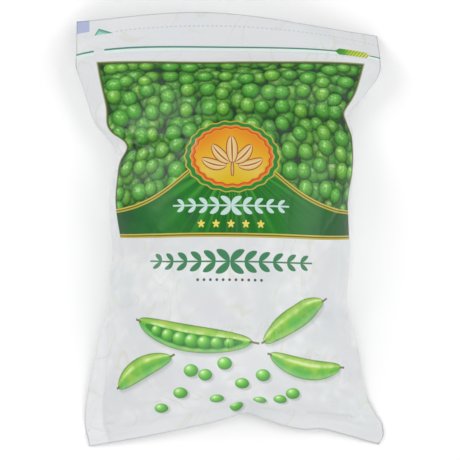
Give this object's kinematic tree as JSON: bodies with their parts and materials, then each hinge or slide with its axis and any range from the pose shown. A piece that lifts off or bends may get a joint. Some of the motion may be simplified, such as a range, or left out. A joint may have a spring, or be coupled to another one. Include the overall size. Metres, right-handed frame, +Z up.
{
  "type": "frozen vegetable bag",
  "caption": "Filled pillow bag of frozen peas in printed film, lying on its back, with a flat zip header and flat sealed corners.",
  "frame": {"origin": "middle of the bag's outline, on the surface that it lies on", "axes": "+Z up, out of the printed front; +Y along the bag from its bottom seal to its zip header; +X across it, to the right as the print is seen"},
  "size_m": [0.2198, 0.31, 0.063],
  "materials": {
    "film": "white polyethylene film with a satin gloss and a green print"
  },
  "bodies": {
    "root": {"bag": "film"}
  },
  "joints": []
}
